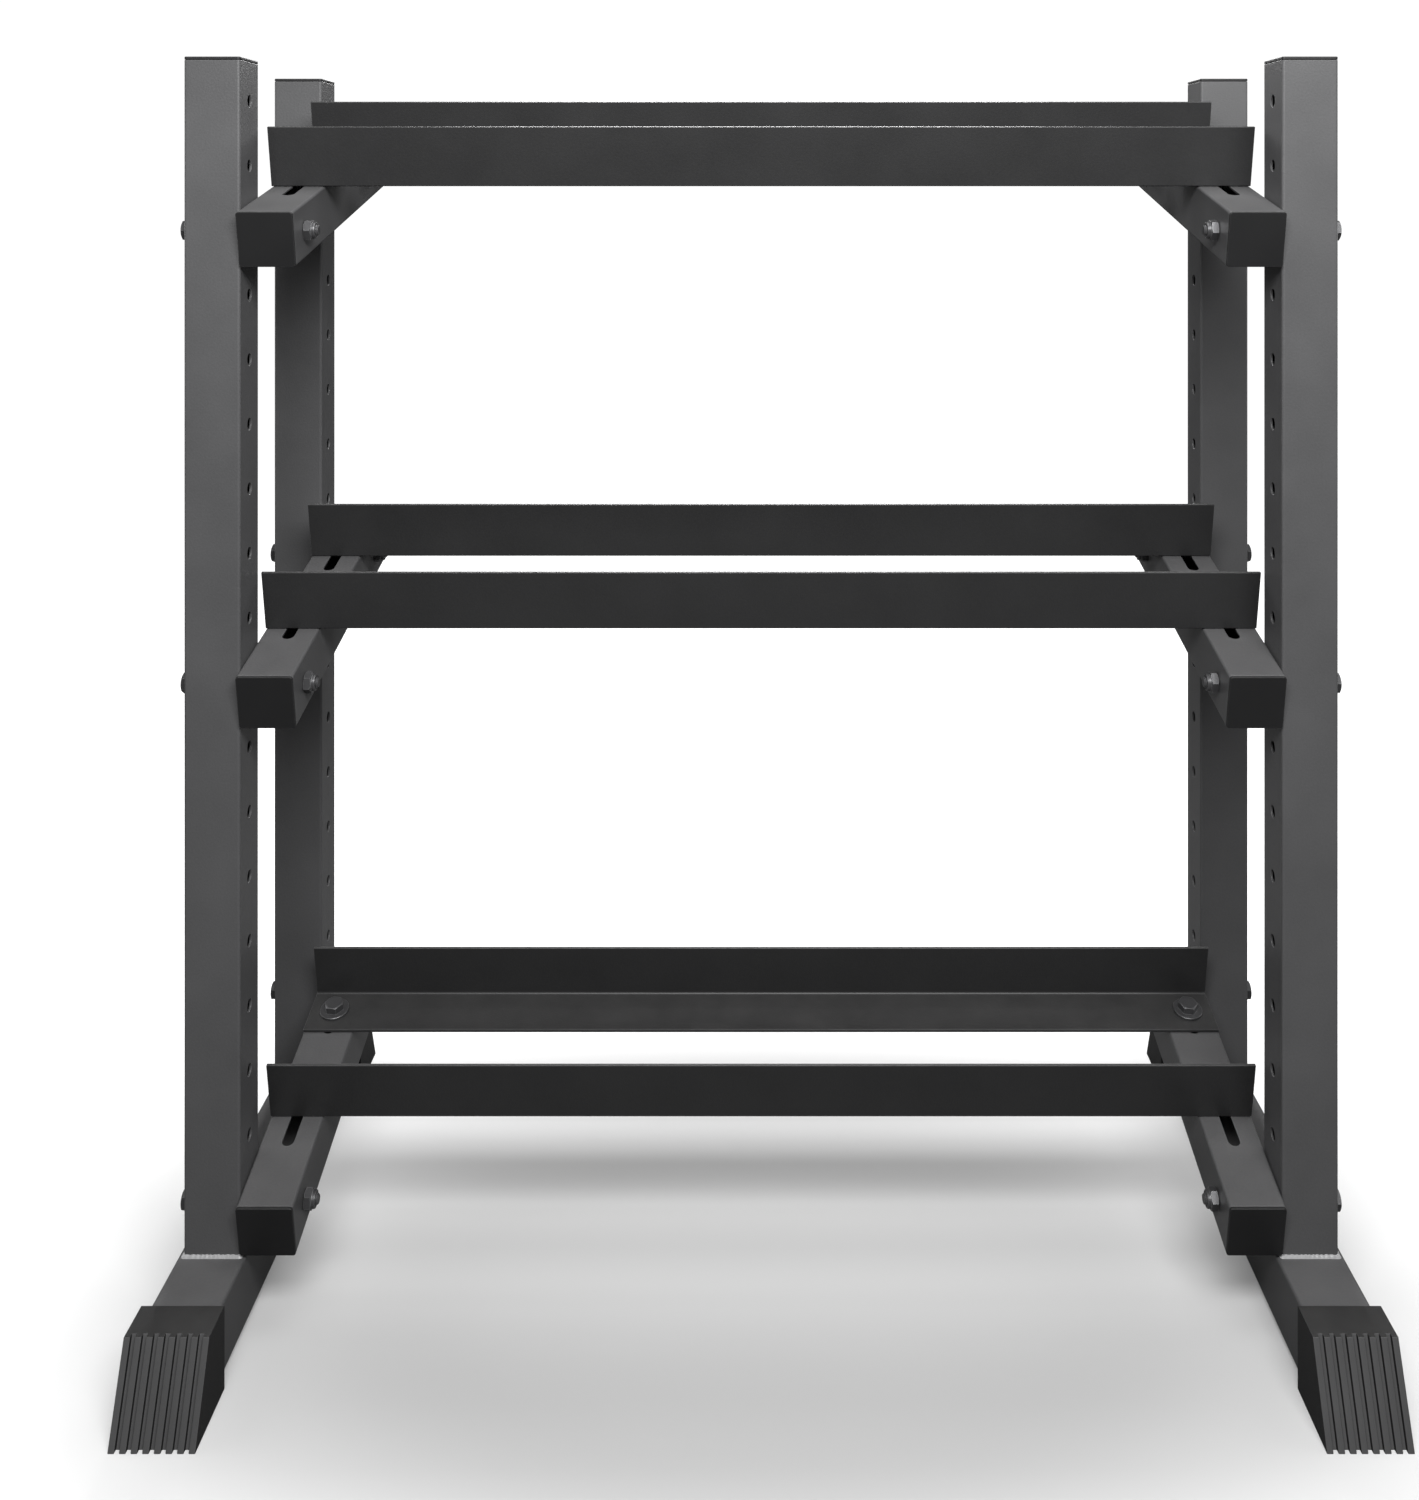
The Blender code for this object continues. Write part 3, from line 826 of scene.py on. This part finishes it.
def threaded_shank(top, tip):
    """A plain shank that ends in a few turns of thread and a pointed tip."""
    core, crest, pitch = 4.1 * MM, 4.9 * MM, 1.5 * MM
    profile = [(0, top), (crest, top)]
    z = tip + 9 * pitch
    while z > tip + pitch:
        profile += [(crest, z), (core, z - pitch / 2)]
        z -= pitch
    profile += [(crest, tip + pitch), (core - 0.3 * MM, tip), (0, tip)]
    return turned(profile, steps=32)


# %% Put a whole bolt together
NUT_HEIGHT = 10 * MM
HEAD_HEIGHT = 7 * MM


def bolt(grip, washer_radius, thick, tail, washer_under_nut):
    """A bolt along Z. Z 0 is the face that its washer lies on, and grip is what it clamps."""
    nut_top = -grip - (thick if washer_under_nut else 0)
    collar = nut_top - 0.68 * NUT_HEIGHT
    nut_foot = nut_top - NUT_HEIGHT
    parts = [
        hexagon_bar(thick, thick + HEAD_HEIGHT),
        washer(washer_radius, 0, thick),
        threaded_shank(thick + 0.5 * MM, nut_foot - tail),
        hexagon_bar(collar, nut_top, foot_chamfer=True),
        turned([
            (5.1 * MM, collar + 0.3 * MM), (7.6 * MM, collar + 0.3 * MM),
            (7.6 * MM, nut_foot + 1.2 * MM), (7.2 * MM, nut_foot + 0.3 * MM),
            (6.4 * MM, nut_foot), (5.9 * MM, nut_foot + 0.5 * MM), (5.1 * MM, nut_foot + 0.5 * MM),
        ]),
    ]
    if washer_under_nut:
        parts.append(washer(washer_radius, nut_top, -grip))
    return joined(*parts)


# %% Bolt the arms to the uprights, heads outside
NARROW = (10.5 * MM, 2.0 * MM)  # a washer's radius and thickness
WIDE = (14.5 * MM, 2.5 * MM)
TAIL = 2.2 * MM
for side, sign in SIDES.items():
    for tier in TIERS:
        for end in ENDS:
            node = f"{side}_{tier}_arm_{end}_bolt"
            low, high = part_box(node)
            seat = sign * (max(abs(low.x), abs(high.x)) - HEAD_HEIGHT - NARROW[1])
            grip = (high.x - low.x) - HEAD_HEIGHT - NARROW[1] - NUT_HEIGHT - TAIL
            lean = Matrix.Rotation(math.radians(13 * len(node) % 60), 4, "Z")
            place = (
                Matrix.Translation((seat, middle(node).y, middle(node).z))
                @ Matrix.Rotation(sign * math.pi / 2, 4, "Y")
                @ lean
            )
            add_piece(f"{node}_set", bolt(grip, *NARROW, TAIL, False), place, "frame",
                      [bolt_steel], node, crisp=BOLT_CRISP)
print(f"12 arm bolts that clamp {grip / MM:.1f} mm")

# %% Bolt the rails to the arms, heads up
for tier in TIERS:
    for end in ENDS:
        for side in SIDES:
            node = f"{tier}_{end}_rail_{side}_bolt"
            place = tier_place(tier)
            low, high = span(node, place)
            seat = high.z - HEAD_HEIGHT - WIDE[1]
            grip = seat - low.z - WIDE[1] - NUT_HEIGHT - TAIL
            lean = Matrix.Rotation(math.radians(22), 4, "Z")
            spot = Matrix.Translation(((low.x + high.x) / 2, (low.y + high.y) / 2, seat))
            add_piece(f"{node}_set", bolt(grip, *WIDE, TAIL, True), place @ spot @ lean,
                      f"{tier}_{end}_rail_body", [bolt_steel], node, crisp=BOLT_CRISP)
print(f"12 rail bolts that clamp {grip / MM:.1f} mm")

# %% [markdown]
# ## The floor
#
# A studio floor for a product is one wide pale sheet that runs out of sight. Close to the rack, in
# an oval pool, it shows the soft shadows; the glow fades out towards that pool, so the pool is
# also a painted shadow, greyer than the floor around it. Further out it gives light of its own, so
# that it meets the white surroundings with no line between them. Only the camera sees that glow
# and the pale tone. To the rack the floor is darker, or it would light the rails from below and
# wash out their shape.

# %% Lay the floor
FLOOR_RADIUS = 40  # metres
POOL_STRETCH = (1.45, 2.3, 0)  # a larger number makes the pool shorter that way
POOL_SHIFT = (0, 0.25, 0)
DARK_TO_RACK, PALE_TO_CAMERA = (0.13,) * 3, (0.50,) * 3
floor_mesh = bpy.data.meshes.new("studio_floor")
sheet = bmesh.new()
bmesh.ops.create_circle(sheet, cap_ends=True, segments=96, radius=FLOOR_RADIUS)
sheet.to_mesh(floor_mesh)
sheet.free()
floor = bpy.data.objects.new("studio_floor", floor_mesh)
bpy.context.scene.collection.objects.link(floor)
floor_paint = bpy.data.materials.new("pale_floor")
floor_paint.use_nodes = True
tree = floor_paint.node_tree
shader = tree.nodes["Principled BSDF"]
shader.inputs["Roughness"].default_value = 0.55
shader.inputs["Specular IOR Level"].default_value = 0.2
shader.inputs["Emission Color"].default_value = (1, 1, 1, 1)
where = tree.nodes.new("ShaderNodeTexCoord")
oval = tree.nodes.new("ShaderNodeVectorMath")
oval.operation = "MULTIPLY_ADD"
oval.inputs[1].default_value = POOL_STRETCH
oval.inputs[2].default_value = POOL_SHIFT
tree.links.new(where.outputs["Object"], oval.inputs[0])
far = tree.nodes.new("ShaderNodeVectorMath")
far.operation = "LENGTH"
tree.links.new(oval.outputs[0], far.inputs[0])
# painted shadow: the glow is faded out towards the rack, which leaves a greyer oval pool
fade = tree.nodes.new("ShaderNodeMapRange")
fade.interpolation_type = "SMOOTHSTEP"
fade.inputs["From Min"].default_value = 0.4
fade.inputs["From Max"].default_value = 1.6
tree.links.new(far.outputs["Value"], fade.inputs["Value"])
glow_ray = tree.nodes.new("ShaderNodeLightPath")
glow = math_node(tree, "MULTIPLY", fade.outputs["Result"], glow_ray.outputs["Is Camera Ray"])
tree.links.new(glow, shader.inputs["Emission Strength"])
paper = mix_colour(tree, glow_ray.outputs["Is Camera Ray"], DARK_TO_RACK, PALE_TO_CAMERA)
tree.links.new(paper, shader.inputs["Base Color"])
floor.data.materials.append(floor_paint)
print("the floor is", 2 * FLOOR_RADIUS, "m across")

# %% [markdown]
# ## Light
#
# Dark satin paint shows its shape by what it mirrors, so the six lights are large and soft. One
# hangs straight over the rack, for whatever faces up. One is close in front and high, and makes
# the uprights fall off from light to dark towards the floor. A larger one further out in front
# keeps their lower half from going black. One behind draws bright lines along the upper edges and
# lights the rear view. Two tall weak ones at the sides do the same for the side views.

# %% Hang the lights
def soft_light(name, spot, target, size, power):
    """An area light at spot that faces target, with power in watts."""
    lamp = bpy.data.lights.new(name, "AREA")
    lamp.shape = "RECTANGLE"
    lamp.size, lamp.size_y = size
    lamp.energy = power
    obj = bpy.data.objects.new(name, lamp)
    bpy.context.scene.collection.objects.link(obj)
    obj.location = spot
    obj.rotation_euler = (Vector(target) - Vector(spot)).to_track_quat("-Z", "Y").to_euler()
    obj.visible_camera = False


soft_light("overhead_light", (0.0, 0.0, 2.8), (0, 0, 0), (1.5, 1.1), 23)
soft_light("front_light", (0.14, -1.4, 1.8), (0, 0, 1.15), (1.5, 0.6), 51)
soft_light("far_front_light", (0.2, -3.4, 2.4), (0, 0, 0.8), (2.4, 1.2), 26)
soft_light("back_light", (0.0, 2.8, 2.2), (0, 0, 0.6), (1.6, 0.9), 66)
for side, sign in SIDES.items():
    soft_light(f"{side}_light", (sign * 1.5, 0.25, 1.15), (0, 0.1, 0.6), (0.7, 1.5), 6.5)

# %% Light the surroundings
surroundings = bpy.data.worlds.new("white_surroundings")
surroundings.use_nodes = True
bpy.context.scene.world = surroundings
tree = surroundings.node_tree
around = tree.nodes["Background"]
around.inputs["Color"].default_value = (1, 1, 1, 1)
around.inputs["Strength"].default_value = 0.05
seen = tree.nodes.new("ShaderNodeBackground")
seen.inputs["Color"].default_value = (1, 1, 1, 1)
seen.inputs["Strength"].default_value = 1.05
ray = tree.nodes.new("ShaderNodeLightPath")
either = tree.nodes.new("ShaderNodeMixShader")
tree.links.new(ray.outputs["Is Camera Ray"], either.inputs[0])
tree.links.new(around.outputs[0], either.inputs[1])
tree.links.new(seen.outputs[0], either.inputs[2])
tree.links.new(either.outputs[0], tree.nodes["World Output"].inputs["Surface"])
bpy.context.scene.view_settings.view_transform = "Standard"

# %% [markdown]
# ## The camera
#
# The rack is seen from the front, from the height of its top tier. A camera that is tilted down
# to the feet would make the uprights lean towards each other. So the camera stays level, and its
# sensor is shifted down until the feet are in view, which is what a shift lens does.

# %% Set up the camera
camera = bpy.data.cameras.new("camera")
camera.lens = 36.41
camera.sensor_width = 36
camera.shift_x = -0.0344
camera.shift_y = -0.368
eye = bpy.data.objects.new("camera", camera)
bpy.context.scene.collection.objects.link(eye)
eye.location = (0, -1.495, 1.003)
eye.rotation_euler = (math.radians(90), 0, 0)
bpy.context.scene.camera = eye
print("the camera's lens is", camera.lens, "mm")
